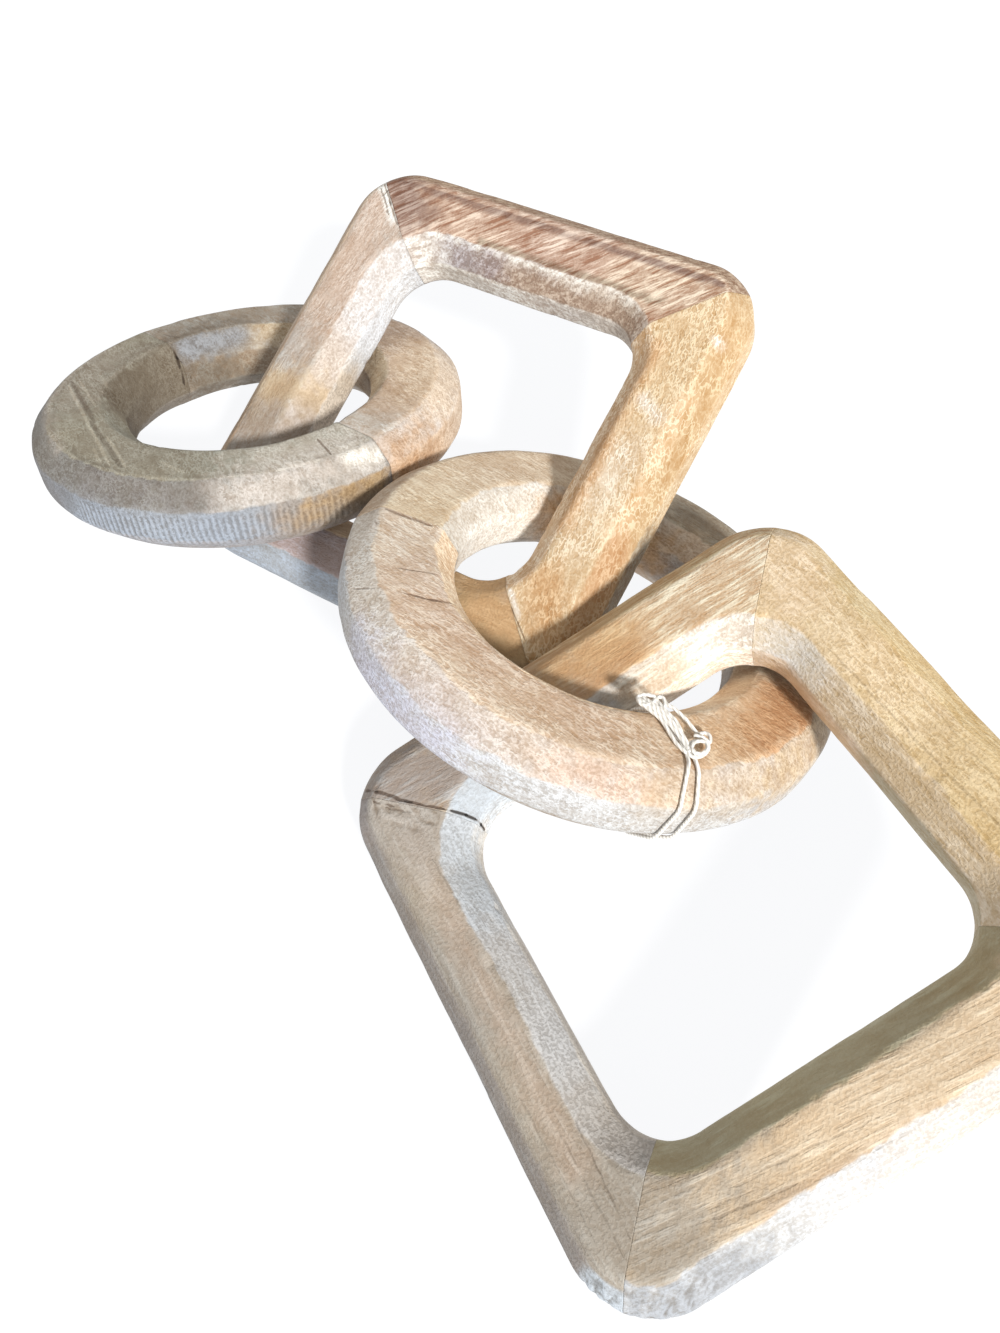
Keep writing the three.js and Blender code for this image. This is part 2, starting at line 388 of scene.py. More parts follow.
def wood_material(name, seed, lines=(), stretch=(290, 800), fleck=0.6, pore=0.10, curl=0.6, band=0.16,
                  mottle=0.5, deep=(0.72, 0.60, 0.48), light=(1.24, 1.36, 1.50), crumbly=False):
    """Limewashed wood. The mesh carries its tone, where it is sandy with wash, paler, darker, rougher or
    calmer, and the grain's own axes. stretch is how close the flecks lie along and across the grain,
    curl how much of the wash lies in curls, and deep and light are what bare wood and wash do to the
    tone."""
    n = Nodes(name)
    grain = n.vector("ADD", n.attribute("grain", "Vector"), (seed * 0.173, seed * 0.071, seed * 0.119))
    wander = n.math("SUBTRACT", n.noise(grain, 16, 1), 0.5)
    sideways = n.math("MULTIPLY", wander, 0.010)
    wander = n.add("ShaderNodeCombineXYZ", {"Y": sideways, "Z": wander}).outputs[0]
    grain = n.vector("ADD", grain, n.vector("MULTIPLY", wander, (0.0, 1.0, -0.007)))
    tone = n.attribute("tone", "Color")
    washed = n.attribute("washed")

    # Broad growth bands, wash in pale flecks and curls along the grain, fine dark pores and sandy wash.
    along, across = stretch
    bands = n.step(n.noise(n.vector("MULTIPLY", grain, (9, 180, 180)), 1, 2, 0.55), 0.35, 0.65)
    patchy = n.step(n.noise(grain, 95, 2, 0.6), 0.36, 0.60)
    medium = n.math("SUBTRACT", n.noise(n.vector("MULTIPLY", grain, (170, 340, 340)), 1, 1), 0.5)
    drawn = n.vector("MULTIPLY", grain, (along, across, across))
    curls = n.squiggles(drawn, 0.015, 0.075)
    elsewhere = n.vector("ADD", n.vector("MULTIPLY", drawn, (0.55, 1.0, 1.0)), (3.1, 1.7, 2.3))
    straight = n.noise(elsewhere, 1, 2, 0.6)
    flecks = n.math("MULTIPLY", n.step(straight, 0.50, 0.64), 1.1 - curl)
    flecks = n.math("MULTIPLY_ADD", curls, curl, flecks)
    flecks = n.math("MULTIPLY", flecks, n.math("MULTIPLY_ADD", patchy, 0.7, 0.3))
    pores = n.math("SUBTRACT", 1.0, n.step(straight, 0.34, 0.42))
    grit = n.step(n.noise(grain, 1250, 1), 0.36, 0.64)
    t = n.math("MULTIPLY", n.math("SUBTRACT", bands, 0.5), band)
    t = n.math("MULTIPLY_ADD", n.math("SUBTRACT", flecks, 0.22), fleck, t)
    t = n.math("MULTIPLY_ADD", pores, -pore, t)
    t = n.math("MULTIPLY_ADD", medium, mottle, t)
    gritty = n.math("MULTIPLY_ADD", washed, 0.5, 0.12)
    t = n.math("MULTIPLY_ADD", n.math("SUBTRACT", grit, 0.5), gritty, t)
    t = n.math("MULTIPLY_ADD", t, n.math("MULTIPLY_ADD", n.attribute("calm"), -0.75, 1.0), 0.52)
    t = n.math("ADD", t, n.attribute("pale"))
    t = n.add("ShaderNodeClamp", {"Value": t, "Min": -0.2, "Max": 1.2}).outputs[0]
    bare = n.mix(washed, (*deep, 1.0), (0.78, 0.77, 0.76, 1.0))
    limed = n.mix(washed, (*light, 1.0), (1.21, 1.23, 1.26, 1.0))
    colour = n.mix(t, n.tint(tone, bare), n.tint(tone, limed))
    shade = n.math("MULTIPLY", n.attribute("dark"), n.math("MULTIPLY_ADD", grit, 0.4, 0.6))
    colour = n.mix(shade, colour, n.tint(colour, (0.22, 0.17, 0.13)))

    height = n.math("MULTIPLY_ADD", flecks, 0.6, n.math("MULTIPLY", pores, -0.5))
    height = n.math("MULTIPLY_ADD", grit, 0.45, height)
    if crumbly:
        crumbs = n.math("MULTIPLY", n.noise(grain, 420, 3, 0.7), n.attribute("rough"))
        height = n.math("MULTIPLY_ADD", crumbs, 3.0, height)
    if lines:
        marks = line_marks(n, lines)
        colour = n.scaled(colour, marks)
        colour = n.mix(n.step(marks, 0.9, 0.4), colour, n.tint(colour, (1.0, 0.88, 0.80)))
        height = n.math("MULTIPLY_ADD", marks, 2.0, height)
    bump = n.bump(height, 0.6, 0.00024)
    roughness = n.math("MULTIPLY_ADD", flecks, 0.16, 0.72)
    return n.surface({
        "Base Color": colour, "Roughness": roughness, "Normal": bump, "Specular IOR Level": 0.28})


# The pieces

# The hand work on a piece: the height of its waves, how much an edge is worn at least and how much more
# at most, its knocks, and how near the ends this fades out. GLUE_LINE is half a glue line's width.
LONG_WAVE = 0.25
SHORT_WAVE = 0.09
FINE_WAVE = 0.03
LEAST_WEAR = 0.05
MORE_WEAR = 0.40
NICKS = 14
NICK_SIZES = (0.9, 2.4)
NICK_DEPTHS = (0.12, 0.38)
NICK_PALENESS = (-0.25, 0.3)
SETTLE_LENGTH = 8
FLUSH_LENGTH = 2.5
GLUE_LINE = 0.5

# What the coat of a piece holds besides its tone, with the least and the most of each.
LAYERS = dict(washed=(0, 1.2), pale=(-0.6, 0.8), dark=(0, 1), rough=(0, 1), calm=(0, 1))


def put_in_scene(name, data):
    item = bpy.data.objects.new(name, data)
    bpy.context.scene.collection.objects.link(item)
    return item


def grid_mesh(name, points):
    """A closed mesh from loops of points: sides, and a flat cap at each end."""
    stations, count = points.shape[:2]
    i, j = np.meshgrid(np.arange(stations - 1), np.arange(count), indexing="ij")
    k = (j + 1) % count
    quads = np.stack([i * count + j, (i + 1) * count + j, (i + 1) * count + k, i * count + k], -1)
    polygons = quads.reshape(-1, 4).tolist()
    polygons.append(list(range(count)))
    polygons.append([(stations - 1) * count + s for s in range(count)][::-1])
    mesh = bpy.data.meshes.new(name)
    mesh.from_pydata(points.reshape(-1, 3).tolist(), [], polygons)
    mesh.validate()
    mesh.update()
    smooth_faces = np.ones(len(mesh.polygons), bool)
    smooth_faces[-2:] = False
    mesh.polygons.foreach_set("use_smooth", smooth_faces)
    return mesh


def put_attribute(mesh, name, kind, values):
    attribute = mesh.attributes.new(name, kind, "POINT")
    key = {"FLOAT": "value", "FLOAT_VECTOR": "vector", "FLOAT_COLOR": "color"}[kind]
    attribute.data.foreach_set(key, np.ascontiguousarray(values, dtype=np.float32).ravel())


def faces(outer, outer_bevel, top, inner_bevel, inner, under="drift"):
    """The tone of each face of a piece."""
    return dict(outer=outer, outer_bevel=outer_bevel, top=top, inner_bevel=inner_bevel, inner=inner,
                under_inner=under, under=under, under_outer=under)


def spot(at, size, tone, amount=1.0, edge=1.5, on=FACES, **layers):
    """A place or a line where the wood has another tone, size mm to each side. edge is how soft its
    uneven border is, and layers are what else its coat has."""
    at = lifted(at, SPOT_HEIGHT)
    return dict(at=at, size=size, tone=tone, amount=amount, edge=edge, on=on, **layers)


def on_faces(shares, names):
    return shares @ np.array([1.0 if face in names else 0.0 for face in FACES])


def rough_out(node, spec):
    """The plain grid of a half ring or a mitred bar, how far each point is from its two ends, and how
    much it belongs to each face."""
    names = node.split("_")
    link = LINKS["_".join(names[:2])]
    seed = spec["seed"]
    if "span" in spec:
        section = section_outline(**RING_SECTION)
        stations = spec.get("stations", RING_STATIONS)
        grid, *ends = ring_grid(link, section, *spec["span"], stations)
    else:
        section = section_outline(**BAR_SECTION)
        grid, *ends = bar_grid(link, section, names[2], BAR_STATIONS)
    ragged = spec.get("ragged", 1.1)
    shift = ragged * (0.6 * noise(grid, 7, seed + 7) + 0.4 * noise(grid, 2, seed + 8))
    shares = face_shares(section, shift, spec.get("borders", {}))
    return SimpleNamespace(seed=seed, link=link, section=section, grid=grid, ends=ends, shares=shares)


def paint(spec, part):
    """The coat on the grid: one tone a face, then the spots, both with uneven borders."""
    grid, seed, shares = part.grid, part.seed, part.shares
    zero = np.zeros(grid.shape[:2])
    washed = shares @ np.array([spec["washed"].get(face, 0.0) for face in FACES])
    coat = SimpleNamespace(
        tone=shares @ np.array([linear(TONES[spec["faces"][face]]) for face in FACES]),
        washed=washed * (1 + 0.3 * noise(grid, 12, seed + 4)),
        pale=0.07 * noise(grid, 9, seed + 5), dark=zero.copy(), rough=zero.copy(), calm=zero.copy())
    uneven = noise(grid, 14, seed) * 0.5 + noise(grid, 5, seed + 1) * 0.3
    uneven = uneven + noise(grid, 2, seed + 6) * 0.2
    frayed = 0.22 * noise(grid, 2.2, seed + 9) + 0.14 * noise(grid, 1.1, seed + 15)
    warm = noise(grid, 17, seed + 3)[..., None] * np.array([0.03, 0.0, -0.05])
    coat.tone = coat.tone * (1 + 0.06 * noise(grid, 22, seed + 2)[..., None] + warm)
    for mark in spec["spots"]:
        away, _ = distance_to(grid, mark["at"])
        size = mark["size"] * (1 + 0.5 * uneven)
        amount = smooth((size - away) / (mark["edge"] * mark["size"]) + 0.5 + frayed) * mark["amount"]
        amount = amount * on_faces(shares, mark["on"])
        coat.tone += (linear(TONES[mark["tone"]]) - coat.tone) * amount[..., None]
        for layer in LAYERS:
            if layer in mark:
                values = getattr(coat, layer)
                values += (mark[layer] - values) * amount
    return coat


def cut_lines(spec, part, coat):
    """How deep the wide saw lines and worn joints go, which also darken the coat."""
    sunk = np.zeros(part.grid.shape[:2])
    for cut in spec.get("cuts", ()):
        away, where = distance_to(part.grid, lifted(cut["at"], LINE_HEIGHT))
        width = cut["width"] * (1 + 0.4 * noise(part.grid, 2.5, part.seed + 20))
        ends = smooth(np.minimum(where, 1 - where) * 6 + 0.25)
        hit = np.exp(-(away / width) ** 2) * ends
        sunk += cut["depth"] * hit
        coat.dark = np.maximum(coat.dark, cut["dark"] * hit)
    return sunk


def flaky(spec, part, coat):
    """Plaster-like crumbs and chips around some places, white on their tops and grey between."""
    grid = part.grid
    seed = part.seed + 50
    sunk = np.zeros(grid.shape[:2])
    for flake in spec.get("flakes", ()):
        away, _ = distance_to(grid, flake["at"])
        size = flake["size"] * (1 + 0.35 * noise(grid, 4, seed))
        inside = smooth((size - away) / (0.5 * flake["size"]) + 0.3)
        inside = inside * on_faces(part.shares, flake.get("on", FACES))
        crumb = np.abs(noise(grid, flake["crumb"], seed + 1)) * 0.7
        crumb = crumb + np.abs(noise(grid, flake["crumb"] / 2, seed + 2)) * 0.3
        sunk += flake["depth"] * inside * (1 - smooth(crumb * 2.2))
        coat.pale += inside * (smooth(crumb * 2.6) - 0.55) * flake["contrast"]
        between = inside * (0.5 - smooth(crumb * 2.6)) * flake["contrast"] * 0.7
        coat.dark = np.maximum(coat.dark, between)
        coat.rough = np.maximum(coat.rough, inside * 0.7)
    return sunk


def nicks(part, coat):
    """Small knocks along the edges."""
    grid, section = part.grid, part.section
    rng = np.random.default_rng(part.seed)
    sunk = np.zeros(grid.shape[:2])
    edges = [int(np.argmin(np.abs(section.way - corner))) for corner in section.corners]
    for _ in range(NICKS):
        station = rng.integers(6, len(grid) - 6)
        centre = grid[station, edges[rng.integers(0, 8)]]
        size = rng.uniform(*NICK_SIZES)
        away = np.linalg.norm(grid - centre, axis=-1) * (1 + 0.3 * noise(grid, 1.5, part.seed + 60))
        bite = smooth(1.2 - away / size)
        sunk += rng.uniform(*NICK_DEPTHS) * bite
        coat.pale += rng.uniform(*NICK_PALENESS) * bite
    return sunk


def ridged(ridges, part, coat):
    """Fine upright tool marks round part of a ring's outer face. They fade out over some degrees along
    it and some millimetres up it."""
    fade_along, fade_up = 6, 2.5
    rim_depth = 5
    grid = part.grid
    radius = part.link["radius"]
    turn = np.degrees(np.arctan2(grid[..., 1], grid[..., 0]))
    up = grid[..., 2]
    low, high = ridges["height"]
    inside = smooth((turn - ridges["start"]) / fade_along) * smooth((ridges["end"] - turn) / fade_along)
    inside = inside * smooth((up - low) / fade_up) * smooth((high - up) / fade_up)
    inside = inside * (np.linalg.norm(grid[..., :2], axis=-1) > radius - rim_depth)
    way = np.radians(turn) * radius * 2 * math.pi / ridges["pitch"]
    wave = np.cos(way + 1.1 * noise(grid, 8, part.seed + 40))
    # Besides being cut in, the ridges' tops are painted paler and their grooves darker: painted highlight
    # and painted shade.
    coat.pale += ridges["contrast"] * inside * wave
    return ridges["depth"] * inside * (0.5 - 0.5 * wave)


def hand_work(spec, part, coat):
    """How far each point is moved outwards: faces that aren't quite flat, edges eased and worn
    unevenly, flakes, knocks, ridges, cuts and glue lines."""
    grid, seed = part.grid, part.seed
    to_start, to_end = part.ends
    crest = np.exp(-(to_edge(part.section) / 1.3) ** 2)[None]
    settle = smooth(np.minimum(to_start, to_end) / SETTLE_LENGTH)
    flush = smooth(np.minimum(to_start, to_end) / FLUSH_LENGTH)
    move = LONG_WAVE * noise(grid, 30, seed + 10) * settle + SHORT_WAVE * noise(grid, 9, seed + 11)
    move = move + FINE_WAVE * noise(grid, 2.2, seed + 13)
    worn = np.maximum(noise(grid, 11, seed + 12), 0)
    move = move - crest * (LEAST_WEAR + MORE_WEAR * worn)
    # Every edge is painted paler as well, partly as wear and partly as painted highlight.
    coat.pale += crest * (spec.get("crest", 0.16) * (0.5 + worn) + 0.12 * noise(grid, 3, seed + 14))

    move = move - flaky(spec, part, coat)
    move = move - nicks(part, coat)
    if "ridges" in spec:
        move = move - ridged(spec["ridges"], part, coat)
    move = move * flush - cut_lines(spec, part, coat)
    for away, (depth, dark) in zip(part.ends, spec.get("joints", ((0, 0), (0, 0)))):
        line = np.exp(-(away / GLUE_LINE) ** 2)
        move = move - depth * line
        coat.dark = np.maximum(coat.dark, dark * line)
    if "step" in spec:
        depth, length = spec["step"]
        move = move - depth * (1 - smooth(to_start / length))
    return move


def wood_piece(node, **spec):
    """One half ring or mitred bar, from its plain grid to the painted and worked piece."""
    part = rough_out(node, spec)
    grid = part.grid
    coat = paint(spec, part)
    move = hand_work(spec, part, coat)
    shaped = grid + grid_normals(grid) * move[..., None]
    placed = to_frame(shaped, pose_of(part.link))
    # Nothing goes below the table.
    placed[..., 2] = np.maximum(placed[..., 2], 0.0)
    mesh = grid_mesh(node, placed * MM)
    grained = shaped @ turned_by(math.radians(spec["grain"])) * MM
    opaque = np.ones((*grid.shape[:2], 1))
    put_attribute(mesh, "grain", "FLOAT_VECTOR", grained)
    put_attribute(mesh, "place", "FLOAT_VECTOR", grid * MM)
    put_attribute(mesh, "tone", "FLOAT_COLOR", np.concatenate([np.clip(coat.tone, 0, 1), opaque], -1))
    for layer, limits in LAYERS.items():
        put_attribute(mesh, layer, "FLOAT", np.clip(getattr(coat, layer), *limits))
    name = node + "_wood"
    lines = spec.get("lines", ())
    crumbly = "flakes" in spec
    mesh.materials.append(wood_material(name, part.seed, lines, crumbly=crumbly, **spec["look"]))
    piece = put_in_scene(name, mesh)
    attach(piece, "root")
    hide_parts(node)


# Groups of faces that marks keep to.
TOP = ("top",)
OUTER = ("outer",)
OUTER_BEVEL = ("outer_bevel",)
INNER = ("inner",)
INNER_BEVEL = ("inner_bevel",)
UNDER_INNER = ("under_inner",)
RIM = ("outer", "under_outer")
SIDE = RIM + OUTER_BEVEL
HOLE = INNER + INNER_BEVEL + UNDER_INNER
UPPER = TOP + OUTER_BEVEL + INNER_BEVEL

# The open corner of the end square: a reddish line over the top and a black crack down the inner face.
OPEN_CORNER = [(-69, -66, 9), (-60.9, -59.6), (-49.2, -48, 11.5)]
OPEN_CORNER_CUTS = [dict(at=OPEN_CORNER, width=0.6, depth=0.2, dark=0.25)]
OPEN_CORNER_LINES = [
    ((-71, -67.3, 7), (-65.3, -62.8), 1.1, 0.45, 0.6),
    ((-66.6, -63.9), (-57, -56), 1.2, 0.42, 1.2),
    ((-58.6, -57.5), (-50, -49.1), 1, 0.48, 1),
    ((-50.4, -49.6), (-48.9, -47.6, 11), 0.8, 0.4, 0.4),
    ((-49.2, -48, 11.3), (-46.7, -44.9, 7.9), 1, 0.12, 0.2),
    ((-47.1, -45.4, 8.5), (-45.3, -43.8, 5.6), 1, 0.12, 0.2),
    ((-45.5, -43.9, 6), (-44.3, -43.6, 2), 1, 0.12, 0.2),
    ((-44.6, -43.6, 3.4), (-44.2, -43.9, -1.5), 0.9, 0.12, 0.2)]

# The end ring's open joint, down its inner face.
END_RING_LINES = [
    ((-49.5, 1.2, 11.7), (-44.4, -0.5, 7.6), 1.4, 0.4, 0.8),
    ((-45, -0.2, 8.2), (-42.3, -1.6, 5), 1.5, 0.32, 0.6),
    ((-42.7, -1.2, 5.6), (-41.9, -1.8, -1.5), 1.3, 0.35, 0.6),
    ((-43.6, 0.2, 6.8), (-42, 1.8, -0.5), 1, 0.5, 0.8)]

# One call a piece. A ring's ends are the headings of span, and a bar's go counterclockwise round its
# square. grain is the grain's heading, and joints are the depth and darkness of each end's glue line.
wood_piece(
    "end_ring_rear_half", seed=11, span=(0, 180), grain=172, step=(0.55, 5),
    joints=((0.2, 0.35), (0.03, 0.08)),
    faces=faces("tan", "dove", "fawn", "drift", "umber"),
    washed=dict(outer=0.4, outer_bevel=0.5, inner_bevel=0.3),
    look=dict(light=(1.28, 1.42, 1.58), fleck=0.7),
    spots=[
        spot([(-46, 36), (-60, 2)], 22, "clay", on=UPPER),
        # Painted shade: the top's inner edge and the inner bevel darken at the hole's left side, which lies
        # in shadow.
        spot([(-40, 18, 7), (-45, 2, 7)], 13, "shadow_brown", 0.9, edge=2, on=TOP + INNER_BEVEL),
        spot([(30, 32, 8), (10, 46, 8), (-22, 44, 8)], 20, "sand", 0.8, on=INNER_BEVEL),
        spot([(60, 36), (40, 52)], 16, "cream", 0.6, on=TOP + OUTER_BEVEL),
        spot([(70, 16, 7), (72, 4, 7)], 6, "fawn", 0.9, edge=2.4, on=SIDE),
        spot([(73, 8, -1)], 8, "amber", 0.9, edge=2.2, on=SIDE),
        spot([(72, 22, -3)], 9, "amber", 0.6, edge=2.5, on=SIDE),
        spot([(50, 4), (66, 8)], 6, "bone", 0.8, edge=2.2, on=TOP),
        # Painted shade on the inner face, darker low down.
        spot([(-42, 2, 6), (-41, 10, -4)], 11, "shade", 0.9, edge=2, on=INNER + UNDER_INNER),
        spot([(-46, 6, 9), (-44, 14, 9), (-39.5, 24, 9.5)], 4.4, "slate", 0.8, on=HOLE, washed=0.9,
            pale=0.06),
        spot([(-39, 20, -5), (-30, 32, -4)], 9, "shade", 0.45, edge=2.5, on=HOLE),
        spot([(-20, 40, -2), (10, 44, -2)], 14, "umber", 0.5, on=HOLE),
        # Painted shade on the hole's underside.
        spot([(-44, 2, -8), (-34, 30, -9)], 16, "shade", 0.85, edge=2, on=UNDER_INNER)],
    lines=END_RING_LINES + [((-58, 3.5), (-50, 5.5), 0.5, 0.6, 1)],
    flakes=[dict(at=[(-46, 6, 9), (-43, 15, 9)], size=4, depth=0.25, crumb=2, contrast=0.8, on=HOLE)])
wood_piece(
    "end_ring_front_half", seed=12, span=(180, 360), stations=560, grain=-18,
    joints=((0.03, 0.08), (0.2, 0.35)),
    # The inner face's tone is painted shade.
    faces=faces("slate", "grey", "olive", "olive", "shade", "mist"),
    washed=dict(outer=0.7, outer_bevel=0.35, under_outer=0.6, top=0.15),
    look=dict(deep=(0.72, 0.66, 0.58), light=(1.28, 1.34, 1.38), fleck=0.8, mottle=0.7, curl=0.8),
    ridges=dict(start=-86, end=-10, height=(-8, 4.5), pitch=2, depth=0.42, contrast=0.5),
    spots=[
        # Painted shade: the top's inner edge, the inner bevel and the inner face darken at the hole's left
        # side, which lies in shadow.
        spot([(-45, -2, 7), (-40, -18, 7), (-32, -31, 6)], 13, "shadow_brown", 0.9, edge=2, on=TOP + INNER_BEVEL),
        spot([(-42, -8, 5), (-40, -18, 5), (-32, -31, 5)], 9, "shade", 0.9, on=INNER_BEVEL + INNER),
        # Painted shade on the hole's underside.
        spot([(-44, -2, -8), (-36, -26, -9)], 16, "shade", 0.85, edge=2, on=UNDER_INNER),
        spot([(-60, -24), (-44, -44)], 15, "clay", 0.7, edge=2, on=TOP),
        spot([(-6, -55), (30, -55)], 16, "umber", 0.25, edge=2, on=TOP),
        spot([(-56, -48, 0), (-34, -66, 0), (-8, -74, -2)], 12, "smoke", 0.5, edge=3, on=SIDE),
        spot([(10, -73, -3), (45, -58, -3), (62, -40, -3)], 7, "ice", 0.6, edge=2.2, on=SIDE),
        spot([(66, -32, -1), (73, -6, 0)], 8, "umber", 0.9, edge=2.6, on=RIM),
        spot([(66, -24, 2), (73, -6, 4)], 5, "caramel", 0.9, edge=2.6, on=RIM),
        # Painted shade at the bottom of the outer face's right end.
        spot([(70, -20, -5), (73, -8, -6)], 5, "shadow_brown", 0.6, on=RIM),
        spot([(52, -26), (60, -6)], 12, "bone", 0.8, edge=2, on=TOP, pale=0.08),
        spot([(54, -45, 8), (60, -37, 8), (69, -4, 8)], 7, "dove", 0.8, edge=2.8, on=TOP + OUTER_BEVEL,
            pale=0.06),
        spot([(14, -67, 8), (46, -54, 7)], 7, "smoke", 0.55, edge=2.6, on=OUTER_BEVEL),
        spot([(67, -9, 9), (69, -2, 8)], 3.4, "linen", 0.8, pale=0.18, on=TOP + OUTER_BEVEL),
        spot([(-66, -12, 11.5), (-58, -34, 11.5), (-38, -56, 11.5), (-8, -67, 11.5)], 1.6, "drift", 0.6,
            edge=2.4, on=TOP + OUTER_BEVEL)],
    cuts=[
        dict(
            at=[(-62, -17), (-55, -33.5), (-42, -49.5), (-24, -60.5),
                (-14, -64)],
            width=0.8, depth=0.12, dark=0.3),
        dict(at=[(-16, -63.6), (5, -65.5), (25, -60.8)], width=0.8, depth=0.2, dark=0.45),
        dict(at=[(25, -60.8), (44, -48.5), (58, -31)], width=0.7, depth=0.1, dark=0.25),
        dict(at=[(62, -20), (65.4, -11, 12), (66.4, -1, 12)], width=0.9, depth=0.25, dark=0.45)],
    lines=[
        ((-49.6, -39.6), (-14, -50.5), 2, 0.66, 0.6), ((-16, -51), (20, -60.6), 2, 0.7, 0.6),
        ((-47.8, -41.8), (16.4, -62.4), 1.3, 1.3, 0.8), ((-48.5, -37.2), (-24, -44.4), 1.2, 1.25, 0.8),
        ((-2, -53), (21, -59.6), 1.3, 1.28, 0.8), ((1.7, -59.9), (11.6, -63.2), 1.5, 1.2, 1.2),
        ((-47, -30), (-34, -34), 1.6, 1.18, 1.2), ((26, -51), (38, -50), 1.4, 1.18, 1.2),
        ((53.6, -11.4), (64.3, -14.7), 1, 0.5, 0.4), ((51, -1), (67.5, -1, 11), 1.8, 1.25, 0.8),
        *END_RING_LINES],
    flakes=[dict(at=[(64, -4, 12), (69, -1.5, 9)], size=2.6, depth=0.3, crumb=2.2, contrast=0.6)])
wood_piece(
    "inner_square_far_bar", seed=21, grain=43, joints=((0.02, 0.08), (0.04, 0.3)), borders={1: 2.4},
    ragged=0.6, crest=0.1,
    faces=faces("cocoa", "cocoa", "rose", "dove", "linen"),
    washed=dict(inner_bevel=0.6, inner=0.7, outer_bevel=0.3),
    look=dict(stretch=(125, 700), fleck=1.15, pore=0.42, curl=0.3, mottle=0.6, deep=(0.54, 0.38, 0.31),
        light=(1.3, 1.44, 1.56)),
    spots=[
        spot([(-64, 68), (-50, 58)], 10, "mocha", 0.9, on=TOP, dark=0.1),
        spot([(40, 58), (60, 64)], 11, "tan", 0.8, on=TOP),
        spot([(-60, 67), (62, 66.5)], 1.1, "mocha", 0.9, edge=1, on=TOP + OUTER_BEVEL, dark=0.25),
        # Painted shadow: a thin dark band along the top's inner edge.
        spot([(-20, 55, 12.2), (46, 54.5, 12.2)], 1.1, "umber", 0.7, edge=1, on=TOP, dark=0.2),
        spot([(-44, 53, 11.5), (12, 53, 11.5)], 1.1, "linen", 0.9, edge=0.8, on=INNER_BEVEL, pale=0.3),
        spot([(14, 52, 11), (46, 51, 11)], 2.6, "linen", 0.9, edge=0.8, on=INNER_BEVEL, pale=0.3),
        spot([(-14, 49, 7), (46, 48.5, 7)], 5, "cocoa", 0.75, on=INNER_BEVEL, pale=-0.15),
        spot([(-32, 49, 8), (-14, 49, 8)], 5, "mauve", 0.6, edge=2.2, on=INNER_BEVEL, pale=-0.15),
        spot([(-46, 50, 9), (-40, 49, 6)], 6, "linen", 0.8, edge=2, on=INNER_BEVEL + INNER, pale=0.1),
        spot([(10, 47.5, 2), (46, 47, 2)], 5, "dove", 0.5, on=INNER)])
wood_piece(
    "inner_square_right_bar", seed=22, grain=107, joints=((0.06, 0.2), (0.02, 0.05)), crest=0.05,
    faces=faces("sand", "gold", "sand", "cream", "cream"), washed=dict(top=0.2),
    look=dict(stretch=(360, 700), fleck=1, pore=0.15, curl=0.85, deep=(0.77, 0.6, 0.41),
        light=(1.22, 1.34, 1.5)),
    spots=[
        spot([(58, 8), (59, -24)], 8, "oat", 0.5, on=TOP),
        spot([(57, 23.5, 12.3), (64, 20, 12.3)], 2.6, "linen", 0.6, edge=1.6, pale=0.1),
        spot([(60, 4), (57, -8)], 6, "linen", 0.25, edge=2, on=TOP, pale=0.04),
        spot([(70, 48.6, 10.8)], 2.6, "linen", 0.6, pale=0.15),
        spot([(53, -20, 11), (52.5, 40, 11)], 3, "apricot", 0.8),
        spot([(68, 30, 10), (68, -20, 10)], 3, "wheat", 0.6),
        spot([(70, -46, 9), (70, -24, 9)], 7, "amber", 0.7, on=SIDE),
        spot([(58, -42), (66, -52)], 7, "ochre", 0.85),
        # Painted shade on the outer face below the corner, which lies in shade.
        spot([(74, -38, 0), (75, -18, 0)], 9, "shade", 0.75, on=RIM),
        spot([(48.5, -46.8, 11.8), (54.4, -52.6, 12.2)], 0.9, "linen", 0.7, edge=1, pale=0.08)],
    lines=[((50.5, -50.8), (60, -58.3), 0.6, 0.5, 1)])
wood_piece(
    "inner_square_near_bar", seed=23, grain=4, joints=((0.05, 0.1), (0.1, 0.3)),
    faces=faces("steel", "steel", "rose", "cream", "ochre"), washed=dict(outer=0.6, outer_bevel=0.5),
    look=dict(deep=(0.74, 0.64, 0.53), light=(1.2, 1.3, 1.42)),
    spots=[
        spot([(30, -60), (66, -64)], 20, "caramel", 0.95, calm=0.5),
        spot([(44, -56), (58, -56)], 6, "ochre", 0.9, calm=0.6),
        spot([(34, -48, 8), (50, -47, 8)], 7, "ochre", 0.7, on=INNER_BEVEL),
        spot([(-40, -64), (4, -62)], 14, "mauve", 0.7, on=TOP)])
